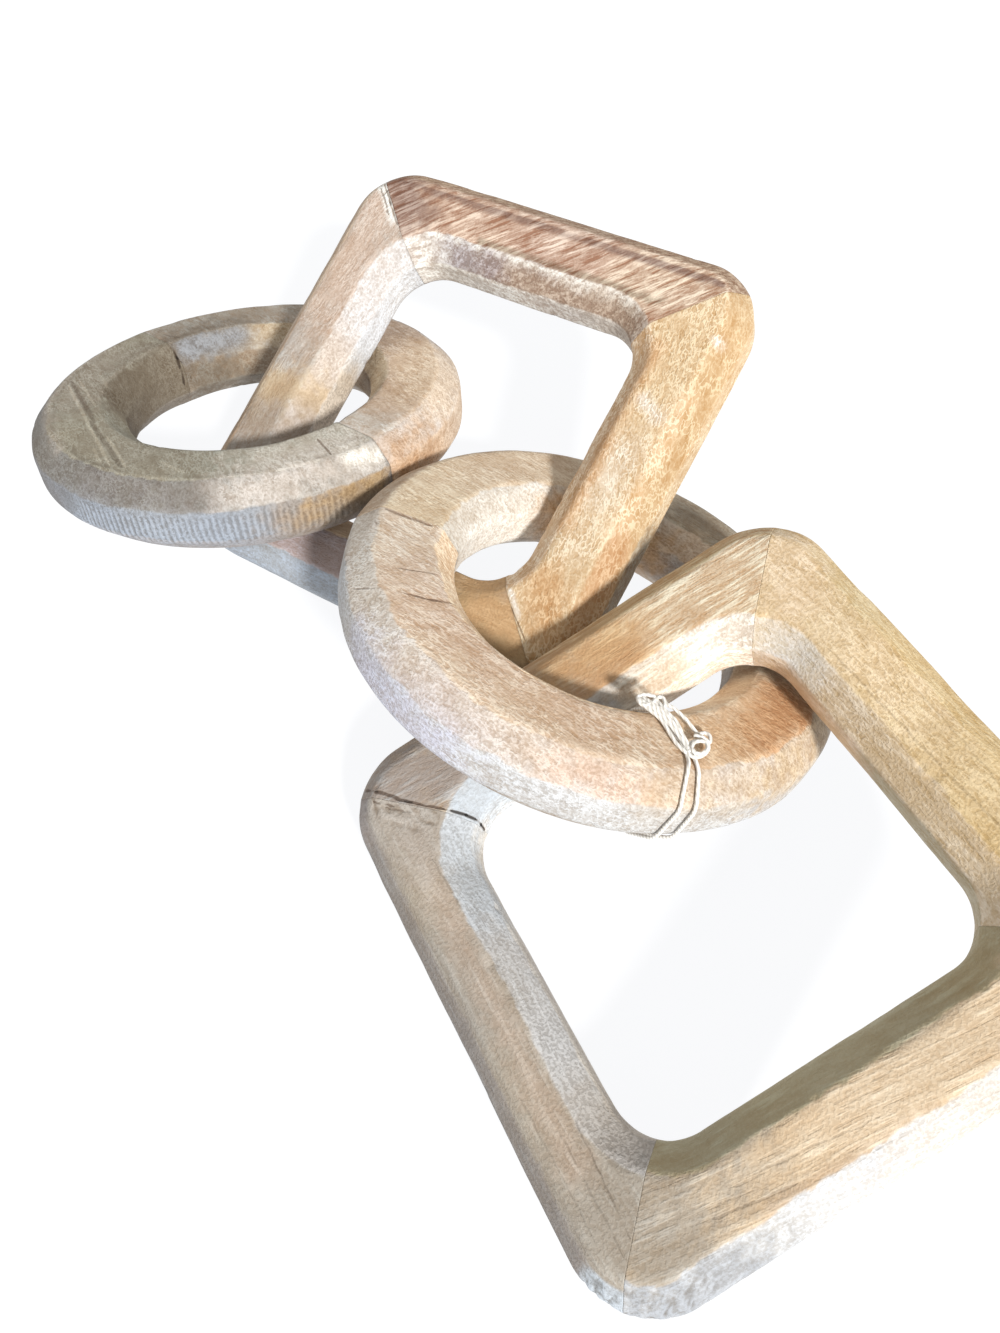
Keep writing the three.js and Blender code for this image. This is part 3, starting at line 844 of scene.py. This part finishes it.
wood_piece(
    "inner_square_left_bar", seed=24, grain=84, joints=((0.1, 0.25), (0.1, 0.2)),
    faces=faces("tan", "tan", "drift", "dove", "chalk"), washed=dict(inner_bevel=0.7, inner=0.9, top=0.2),
    look=dict(deep=(0.74, 0.6, 0.5), light=(1.24, 1.36, 1.48), fleck=0.65),
    spots=[
        spot([(-64, 58), (-60, 20)], 13, "rose", 0.6, edge=2.2, on=TOP),
        spot([(-47, 46, 6), (-46, 20, 6)], 9, "chalk", 0.6, on=HOLE, pale=0.12),
        spot([(-64, -19), (-47, -13, 8)], 6, "gold", 0.8, edge=2, on=UPPER, calm=0.5),
        spot([(-64, -30), (-48, -26, 8)], 8, "umber", 0.7, edge=2, on=UPPER, calm=0.6),
        spot([(-45, -6, 0), (-46, -20, 0)], 9, "gold", 0.6, on=INNER + UNDER_INNER),
        spot([(-68, 66.6), (-54, 53.5, 12.2)], 2.3, "linen", 0.85, edge=0.8, pale=0.2)],
    lines=[
        ((-66, 62.6), (-57, 54), 0.8, 0.5, 1.6), ((-66.5, 65.5), (-58, 57.5), 1, 0.42, 1.8),
        ((-60, 59), (-52, 51.5), 0.8, 0.5, 1.2), ((-63, 60), (-62, 64), 0.7, 0.5, 1)],
    flakes=[dict(at=[(-66, 65, 11), (-52, 53, 12)], size=2, depth=0.25, crumb=2.2, contrast=0.7)])
wood_piece(
    "inner_ring_front_half", seed=31, span=(210, 390), grain=8, stations=400,
    joints=((0.03, 0.1), (0.05, 0.2)), ragged=1.8,
    faces=faces("ash", "dove", "buff", "cream", "drift"),
    washed=dict(outer=0.7, outer_bevel=0.55, top=0.1),
    look=dict(fleck=0.8, curl=0.7, mottle=0.6, deep=(0.72, 0.58, 0.45), light=(1.24, 1.37, 1.5)),
    spots=[
        spot([(-58, -34), (-36, -48)], 15, "dove", 0.5, edge=2.2, on=TOP),
        spot([(-20, -54), (30, -48)], 14, "rose", 0.6, edge=2.2, on=TOP),
        spot([(-64, -34, 8), (-38, -60, 8), (-16, -70, 8)], 9, "bone", 0.7, on=OUTER_BEVEL),
        spot([(-24, -72, -2), (6, -75, -2)], 9, "lilac", 0.9, edge=2, on=SIDE, pale=0.1),
        spot([(-10, -69, 8), (30, -62, 8), (56, -41, 8)], 6, "tan", 0.45, edge=2.4, on=OUTER_BEVEL),
        spot([(34, -62, 6), (50, -51, 6)], 4, "peach", 0.45, edge=2.4, on=OUTER_BEVEL),
        spot([(52, -46, 6), (66, -24, 8)], 6, "gold", 0.55, edge=2.4, on=OUTER_BEVEL + OUTER),
        spot([(70, -14, 6), (68, 10, 8)], 8, "gold", 0.8, edge=2, on=SIDE),
        spot([(56, -22), (62, 14)], 13, "apricot", 0.85, edge=2, on=TOP),
        spot([(64, -12), (60, 8)], 8, "cinnamon", 0.75, edge=2, on=TOP),
        spot([(56, -38, 12.2), (38, -55, 12.2), (10, -66, 12.2)], 2, "tan", 0.4, edge=1.6, on=TOP,
            pale=-0.08)],
    lines=[
        ((-40.1, -61.3, 7), (-33.7, -59.4, 11.4), 0.8, 0.55, 1),
        ((-33.7, -59.4, 11.4), (-23.2, -51.8, 12.3), 1.1, 0.45, 0.8),
        ((-23.2, -51.8, 12.3), (-18.1, -46.1, 11.4), 1.3, 0.4, 0.6),
        ((-57.5, -34.4, 12), (-45.4, -27.4), 1.4, 0.55, 1.6),
        ((-37, -50.3, 12.3), (-29, -41.5, 12.3), 0.7, 0.6, 1.6),
        ((-62, -37, 10), (-54, -41), 0.9, 0.65, 1.6), ((4, -50.8), (14, -47.5), 1, 1.4, 1)])
wood_piece(
    "inner_ring_rear_half", seed=32, span=(30, 210), grain=8,
    joints=((0.05, 0.2), (0.03, 0.1)), ragged=1.8,
    faces=faces("dove", "tan", "oat", "bone", "linen"), washed=dict(inner=0.6, inner_bevel=0.5, top=0.15),
    look=dict(fleck=0.7, light=(1.22, 1.34, 1.46)),
    spots=[
        spot([(30, 50, 0), (-10, 58, 0)], 30, "tan", 0.8, on=HOLE),
        spot([(10, 43, 0), (-9, 42, 0)], 7, "slate", 0.8, edge=1.8, on=INNER + UNDER_INNER),
        spot([(-12, 42, 2), (-34, 28, 2)], 9, "ochre", 0.85, edge=1.6, on=HOLE),
        spot([(-50, 36), (-60, 8)], 12, "tan", 0.6, edge=2.2, on=TOP),
        # Painted shadow: the top and outer bevel darken where the inner square's right bar shades the ring.
        spot([(50, 42), (22, 62), (-4, 64)], 20, "shadow_brown", 0.7, edge=1.4, on=TOP + OUTER_BEVEL),
        spot([(-41, -12, 0), (-42, 6, 0)], 8, "linen", 0.8, on=HOLE, pale=0.1)],
    lines=[((-52, -31), (-40, -23.6), 1.2, 0.6, 1.6), ((-38.5, -21, 8), (-36, -23, 0), 0.9, 0.6, 0.8)])
wood_piece(
    "end_square_far_bar", seed=41, grain=4, crest=0.08,
    faces=faces("honey", "honey", "honey", "oat", "tan"), washed=dict(top=0.3, inner_bevel=0.2),
    look=dict(fleck=0.75, pore=0.2, stretch=(240, 680), deep=(0.78, 0.68, 0.49), light=(1.18, 1.27, 1.43)),
    spots=[
        spot([(-54, 62), (-14, 62)], 15, "wheat", 0.6, edge=2.4, on=TOP),
        spot([(6, 62), (36, 62)], 5, "gold", 0.4, edge=2.4, on=TOP),
        spot([(2, 50, 8), (23, 50, 8)], 8, "sand", 0.6, on=INNER_BEVEL),
        spot([(-48, 51, 8), (-36, 50, 8)], 9, "linen", 0.9, edge=2.2, on=INNER_BEVEL + INNER),
        spot([(-38, 47, 0), (-10, 48, 0)], 7, "cream", 0.9, on=INNER),
        spot([(40, 48, 0), (6, 48, 0)], 9, "moss", 0.8, on=INNER),
        spot([(-48, 58), (-66, 72)], 9, "wheat", 0.8, on=UPPER, pale=0.05)],
    lines=[((-30, 57), (38, 60), 0.8, 0.82, 1.6), ((-8, 67), (30, 66), 0.7, 0.86, 1.6)])
wood_piece(
    "end_square_right_bar", seed=42, grain=84, ragged=1.2,
    faces=faces("chalk", "chalk", "wheat", "moss", "moss"),
    washed=dict(outer=0.7, outer_bevel=0.8, top=0.15),
    look=dict(fleck=0.45, pore=0.06, curl=0.15, stretch=(95, 680), deep=(0.8, 0.7, 0.58),
        light=(1.18, 1.27, 1.38)),
    spots=[
        spot([(48, -50), (66, -56)], 20, "clay", 0.95, edge=1.8, on=TOP),
        spot([(54, 4), (64, 40)], 12, "oat", 0.5, edge=2.2, on=TOP),
        spot([(68, -30, 11.5), (69, 10, 11.5)], 2, "cocoa", 0.5, on=TOP),
        spot([(70, -62, 5), (76, 60, 2)], 20, "chalk", 0.2, on=SIDE, calm=0.6),
        spot([(70, -62, 5), (74, -44, 2)], 11, "slate", 0.8, edge=2, on=SIDE, calm=0.1),
        spot([(72, 6, 5), (74, 44, 2)], 16, "oat", 0.4, edge=2, on=SIDE),
        spot([(50, -28), (50.5, 40)], 1.6, "cream", 0.8, edge=1.2, on=TOP + INNER_BEVEL, pale=0.25)],
    lines=[
        ((63, -42), (66, -22), 0.8, 0.74, 1.6), ((60, -30), (64, 0), 0.6, 0.82, 1.6),
        ((57, -12), (58, 8), 0.6, 0.85, 1.6)],
    flakes=[
        dict(at=[(67, -66, 6), (73, -54, 4)], size=8, depth=0.35, crumb=2, contrast=0.8, on=SIDE)])
wood_piece(
    "end_square_near_bar", seed=43, grain=3, ragged=1.2, borders={1: 3.0},
    faces=faces("grey", "mist", "clay", "ash", "bone"),
    washed=dict(inner_bevel=0.9, inner=0.9, top=0.3, outer_bevel=0.3),
    look=dict(fleck=0.45, curl=0.15, band=0.2, stretch=(90, 560), deep=(0.8, 0.72, 0.64),
        light=(1.16, 1.23, 1.3)),
    spots=[
        spot([(-50, -72, 7), (50, -72, 7)], 8, "grey", 0.5, on=OUTER_BEVEL),
        spot([(-46, -60), (40, -62)], 3, "rose", 0.35, edge=3, on=TOP),
        spot([(-64, -66), (-44, -58)], 9, "drift", 0.8, edge=2.2, on=TOP, pale=0.1),
        # Painted light: the outer bevel's upper part is lightened to offset its own shading.
        spot([(-62, -68.5, 11), (62, -68.5, 11)], 2.4, "drift", 0.6, edge=1.6, on=OUTER_BEVEL, pale=0.06),
        spot([(-48, -49, 8), (-26, -52, 8)], 9, "frost", 0.7, on=HOLE, pale=0.25),
        spot([(36, -52, 6), (46, -50, 4)], 9, "drift", 0.6, edge=2, on=HOLE),
        spot([(-8, -49, 0), (36, -49, 0)], 3.5, "drift", 0.7, edge=2, on=HOLE),
        spot([(66, -73, 6), (76, -73, 4)], 7.5, "frost", edge=0.6, on=SIDE, washed=0.9)],
    cuts=OPEN_CORNER_CUTS,
    lines=OPEN_CORNER_LINES + [
        ((-64, -65, 12), (-59, -61), 1, 0.5, 2.6), ((-60, -63), (-54, -57), 0.9, 0.6, 2.6),
        ((26, -56.7), (58, -58.6), 0.6, 0.76, 1), ((30, -61.5), (60, -61.5), 0.6, 0.82, 1.2),
        ((20, -66), (56, -65.5), 0.6, 0.85, 1.2), ((-40, -58), (16, -56), 0.7, 0.82, 1.6)],
    flakes=[
        dict(at=[(-66, -67.5, 11), (-52, -55.5, 12)], size=4.6, depth=0.45, crumb=2.8, contrast=0.8),
        dict(at=[(64, -72, 6), (72, -70, 6)], size=6.5, depth=0.45, crumb=2.8, contrast=1.3, on=SIDE)])
wood_piece(
    "end_square_left_bar", seed=44, grain=88, crest=0.15,
    faces=faces("drift", "sand", "oat", "linen", "milk"), washed=dict(inner_bevel=0.6, inner=0.7, top=0.1),
    look=dict(stretch=(115, 640), fleck=1.2, pore=0.2, curl=0.35, deep=(0.76, 0.56, 0.39),
        light=(1.24, 1.38, 1.48)),
    spots=[
        spot([(-64, -66), (-58, -14)], 20, "mist", 0.95, edge=1.8, on=UPPER, calm=0.8),
        spot([(-66, -2), (-62, 12)], 12, "ochre", 0.95, edge=2, on=TOP + OUTER_BEVEL, calm=0.85),
        spot([(-55, -4), (-54, 16)], 5, "amber", 0.5, edge=2, on=TOP, calm=0.6),
        spot([(-48, 20, 8), (-49, 6, 8)], 7, "oat", 0.7, edge=2, on=INNER_BEVEL),
        spot([(-48, -10, 6), (-48, -44, 6)], 14, "frost", 0.9, on=HOLE, washed=0.9, pale=0.3),
        spot([(-70, 10, 8), (-71, 50, 8)], 6, "gold", 0.6, edge=2, on=OUTER_BEVEL)],
    cuts=OPEN_CORNER_CUTS,
    lines=OPEN_CORNER_LINES)


# The string

# Where it is round the ring, in degrees, how thick it is and how far it stands off the wood. A cut end is
# CUT_END as thick, and a strand of the bow has STRAND_POINTS.
STRING_HEADING = -36
STRING_RADIUS = 0.5
STRING_GAP = 0.2
CUT_END = 0.4
STRAND_POINTS = 60

# The two turns: how far each strays sideways at these distances round the section from its outer face.
TURN_WAYS = [0, 5, 9, 14, 16.5, 20, 24, 28, 33, 42, 53, 63, 72, 80, 86, 90]
TURN_DRIFTS = [
    [-2.7, -1.7, -1.0, 0.1, 0.8, 2.1, 1.2, -0.4, -2.2, -3.2, -3.6, -4.0, -5.5, -6.5, -5.2, -4.2],
    [2.1, 2.7, 3.1, 3.2, 3.0, 3.2, 2.4, 0.8, -1.0, -2.0, -2.2, -2.6, -3.4, -4.0, -1.4, 0.8]]

# The bow's strands and its closed loops: how far outward, sideways and above the ring's top each goes.
BOW_STRANDS = [
    [(-12.1, -6.1, 0.9), (-9.0, -4.5, 1.5), (-5.5, -2.2, 1.5), (-1.5, -1.1, 1.1), (2.0, -0.2, 0.9),
     (4.9, 1.3, 1.0)],
    [(-13.0, -6.3, 1.4), (-9.7, -4.2, 2.1), (-6.3, -2.0, 2.2), (-2.1, -0.1, 1.9), (1.2, 1.1, 1.6),
     (4.2, 2.0, 1.5)],
    [(-13.4, -5.0, 1.6), (-9.8, -3.4, 2.6), (-6.2, -1.4, 2.9), (-2.4, 0.5, 2.5), (1.0, 1.9, 1.9),
     (3.4, 2.4, 1.2)],
    [(-13.9, 0.7, 1.6), (-10.2, 0.9, 2.3), (-8.8, 2.1, 2.5), (-5.7, 4.3, 2.2), (-3.1, 5.8, 1.6),
     (-1.2, 6.8, 1.2)],
    [(-12.8, -1.1, 1.4), (-8.4, -0.3, 2.0), (-4.7, 1.5, 2.0), (-0.6, 2.1, 1.4), (2.1, 1.8, 1.2),
     (5.0, 2.4, 1.9)],
    [(-1.2, 6.8, 1.2), (-1.3, 8.6, 1.7), (0.1, 9.4, 2.0), (2.0, 8.5, 1.8), (0.9, 6.9, 2.4),
     (-0.2, 4.8, 2.0)]]
BOW_LOOPS = [
    [(3.5, 1.9, 1.1), (1.8, 3.5, 1.4), (1.4, 6.0, 1.8), (2.2, 7.8, 1.8), (3.9, 7.6, 1.5),
     (5.8, 5.3, 1.3), (6.4, 2.9, 1.3), (5.1, 1.7, 1.1)],
    [(4.0, 2.6, 2.1), (2.5, 3.9, 2.4), (2.3, 6.0, 2.7), (3.0, 6.9, 2.7), (4.6, 6.6, 2.5),
     (5.9, 4.6, 2.2), (5.6, 2.8, 2.1)],
    [(-13.0, -6.3, 1.5), (-13.6, -4.5, 2.0), (-13.3, -2.1, 2.0), (-12.4, -1.6, 1.8),
     (-10.2, -4.0, 2.2), (-10.7, -6.0, 1.5)],
    [(-11.5, -1.7, 1.8), (-12.7, -0.8, 2.2), (-12.4, 0.4, 2.4), (-10.4, 0.4, 2.2), (-9.2, -0.8, 1.8),
     (-10.0, -1.9, 1.6)]]


def tube(path, radius, closed, sides=8):
    """Vertices and faces of a tube round a path."""
    path = np.asarray(path, float)
    if closed:
        tangent = np.roll(path, -1, 0) - np.roll(path, 1, 0)
    else:
        tangent = np.gradient(path, axis=0)
    tangent /= np.linalg.norm(tangent, axis=1, keepdims=True)
    normal = np.zeros_like(path)
    guide = np.array([0.31, 0.52, 0.79])
    normal[0] = np.cross(tangent[0], guide)
    for i in range(1, len(path)):
        normal[i] = normal[i - 1] - tangent[i] * (normal[i - 1] @ tangent[i])
        normal[i] /= np.linalg.norm(normal[i])
    normal[0] /= np.linalg.norm(normal[0])
    side = np.cross(tangent, normal)
    turn = np.linspace(0, 2 * math.pi, sides, endpoint=False)
    size = np.full(len(path), radius)
    if not closed:
        size[0] = size[-1] = radius * CUT_END
    cos, sin = np.cos(turn)[None, :, None], np.sin(turn)[None, :, None]
    points = path[:, None] + size[:, None, None] * (cos * normal[:, None] + sin * side[:, None])
    count = len(path)
    quads = []
    for i in range(count if closed else count - 1):
        for j in range(sides):
            here, there = i * sides, (i + 1) % count * sides
            k = (j + 1) % sides
            quads.append((here + j, here + k, there + k, there + j))
    if not closed:
        quads.append(tuple(range(sides))[::-1])
        quads.append(tuple((count - 1) * sides + j for j in range(sides)))
    return points.reshape(-1, 3), quads


def rounded_path(points, count, closed):
    """A smooth curve of evenly spaced points through the given ones."""
    steps = 24
    p = np.asarray(points, float)
    if closed:
        p = np.concatenate([p[-2:], p, p[:3]])
    else:
        p = np.concatenate([[2 * p[0] - p[1]], p, [2 * p[-1] - p[-2]]])
    out = []
    last = len(p) - 2 - (1 if closed else 0)
    for i in range(1, last):
        for s in np.linspace(0, 1, steps, endpoint=False):
            a, b, c, d = p[i - 1:i + 3]
            square = (2 * a - 5 * b + 4 * c - d) * s ** 2
            cube = (3 * b - a - 3 * c + d) * s ** 3
            out.append(0.5 * (2 * b + (c - a) * s + square + cube))
    if not closed:
        out.append(p[-2])
    out = np.array(out)
    length = np.concatenate([[0], np.cumsum(np.linalg.norm(np.diff(out, axis=0), axis=1))])
    at = np.linspace(0, length[-1], count, endpoint=not closed)
    return np.stack([np.interp(at, length, out[:, k]) for k in range(3)], 1)


def thread_material():
    n = Nodes("string_thread")
    place = n.add("ShaderNodeTexCoord").outputs["Object"]
    wave = {"Vector": place, "Scale": 380.0, "Distortion": 2.0, "Detail": 1.0}
    ply = n.add("ShaderNodeTexWave", wave, bands_direction="DIAGONAL").outputs["Fac"]
    fuzz = n.noise(place, 2500, 2, 0.6)
    colour = n.mix(ply, rgba("#d3d0ca"), rgba("#f8f7f4"))
    colour = n.mix(n.step(fuzz, 0.5, 0.85), colour, rgba("#d9d6d0"))
    height = n.math("MULTIPLY_ADD", fuzz, 0.5, ply)
    bump = n.bump(height, 0.5, 0.00015)
    return n.surface({"Base Color": colour, "Roughness": 0.5, "Normal": bump, "Sheen Weight": 0.25})


def string_tie():
    """A thread twice round the inner ring, gathered on its top in a flattened bow with a loop."""
    ring = LINKS["inner_ring"]
    middle = ring["radius"] - RING_SECTION["width"] / 2
    top = RING_SECTION["thickness"] / 2
    out, along, up = turned_by(math.radians(STRING_HEADING)).T
    parts = []
    section = section_outline(**RING_SECTION)
    rim = np.stack([np.cos(np.radians(section.angle)), np.sin(np.radians(section.angle))], 1)
    route = section.points + rim * (STRING_RADIUS + STRING_GAP)
    for drifts in TURN_DRIFTS:
        drift = np.interp(section.way, TURN_WAYS, drifts, period=section.total)
        drift = sum(np.roll(drift, k) for k in range(-3, 4)) / 7
        path = (middle + route[:, :1]) * out + route[:, 1:2] * up + drift[:, None] * along
        parts.append(tube(path, STRING_RADIUS, closed=True))
    for group, closed in ((BOW_STRANDS, False), (BOW_LOOPS, True)):
        for strand in group:
            places = [(middle + o) * out + s * along + (top + lift) * up for o, s, lift in strand]
            path = rounded_path(places, STRAND_POINTS, closed)
            parts.append(tube(path, STRING_RADIUS, closed=closed))

    vertices, quads, start = [], [], 0
    for points, part in parts:
        vertices.append(points)
        quads += [tuple(v + start for v in q) for q in part]
        start += len(points)
    placed = to_frame(np.concatenate(vertices), pose_of(ring)) * MM
    mesh = bpy.data.meshes.new("string_tie")
    mesh.from_pydata(placed.tolist(), [], quads)
    mesh.polygons.foreach_set("use_smooth", np.ones(len(mesh.polygons), bool))
    mesh.update()
    mesh.materials.append(thread_material())
    piece = put_in_scene("string_tie_thread", mesh)
    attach(piece, "root")
    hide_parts("string_tie")


string_tie()


# Floor, light and camera

# The floor is a disc just below the chain, in metres like its mesh.
FLOOR_RADII = (0.4, 1.2, 3.0)
FLOOR_HEIGHT = -0.0001
FLOOR_SIDES = 96


def floor():
    mesh = bpy.data.meshes.new("floor")
    count = FLOOR_SIDES
    turn = np.linspace(0, 2 * math.pi, count, endpoint=False)
    height = np.full(count, FLOOR_HEIGHT)
    rings = [np.stack([r * np.cos(turn), r * np.sin(turn), height], 1) for r in FLOOR_RADII]
    vertices = np.concatenate([[(0, 0, FLOOR_HEIGHT)], *rings])
    shapes = [(0, 1 + i, 1 + (i + 1) % count) for i in range(count)]
    for inner in (1, 1 + count):
        outer = inner + count
        for i in range(count):
            j = (i + 1) % count
            shapes.append((inner + i, outer + i, outer + j, inner + j))
    mesh.from_pydata(vertices.tolist(), [], shapes)
    n = Nodes("pale_floor")
    mesh.materials.append(n.surface({
        "Base Color": (0.13, 0.13, 0.13, 1), "Roughness": 0.95, "Specular IOR Level": 0.1,
        "Emission Color": (0.97, 0.98, 1.0, 1), "Emission Strength": 0.91}))
    put_in_scene("floor", mesh)


floor()

scene = bpy.context.scene
scene.view_settings.view_transform = "Standard"
scene.view_settings.look = "None"
scene.view_settings.exposure = 0.0
scene.view_settings.gamma = 1.0

world = bpy.data.worlds.new("soft_white_room")
world.use_nodes = True
sky = world.node_tree.nodes["Background"].inputs
sky["Color"].default_value = (1.0, 0.97, 0.92, 1)
sky["Strength"].default_value = 0.55
scene.world = world

# One soft window light, low and from the chain's near right, as the shadows on the links show.
window = bpy.data.lights.new("window", "SUN")
window.energy = 4.25
window.angle = math.radians(6)
window.color = (1.0, 0.985, 0.955)
azimuth = math.radians(-22)
elevation = math.radians(35)
level = math.cos(elevation)
towards = Vector((level * math.cos(azimuth), level * math.sin(azimuth), math.sin(elevation)))
lamp = put_in_scene("window", window)
lamp.rotation_euler = towards.to_track_quat("Z", "Y").to_euler()
lamp.location = towards * 1.5

# The camera looks down on the chain from its near side. CAMERA_PLACE is in millimetres, and FOCAL_PIXELS
# goes with a frame that is FRAME_HEIGHT pixels high.
FOCAL_PIXELS = 1001.0
FRAME_HEIGHT = 1333.0
CAMERA_PLACE = (131.0, -140.5, 269.8)
camera_data = bpy.data.cameras.new("camera")
camera_data.sensor_fit = "VERTICAL"
camera_data.sensor_height = 36.0
camera_data.lens = FOCAL_PIXELS / FRAME_HEIGHT * camera_data.sensor_height
camera_data.clip_start = 0.01
forward = Vector((-0.3825, 0.4171, -0.8245)).normalized()
right = Vector((0.7310, 0.6823, 0.0060)).normalized()
up = right.cross(forward).normalized()
right = forward.cross(up).normalized()
turned = Matrix((right, up, -forward)).transposed().to_4x4()
camera = put_in_scene("camera", camera_data)
camera.matrix_world = Matrix.Translation(Vector(CAMERA_PLACE) * MM) @ turned
scene.camera = camera
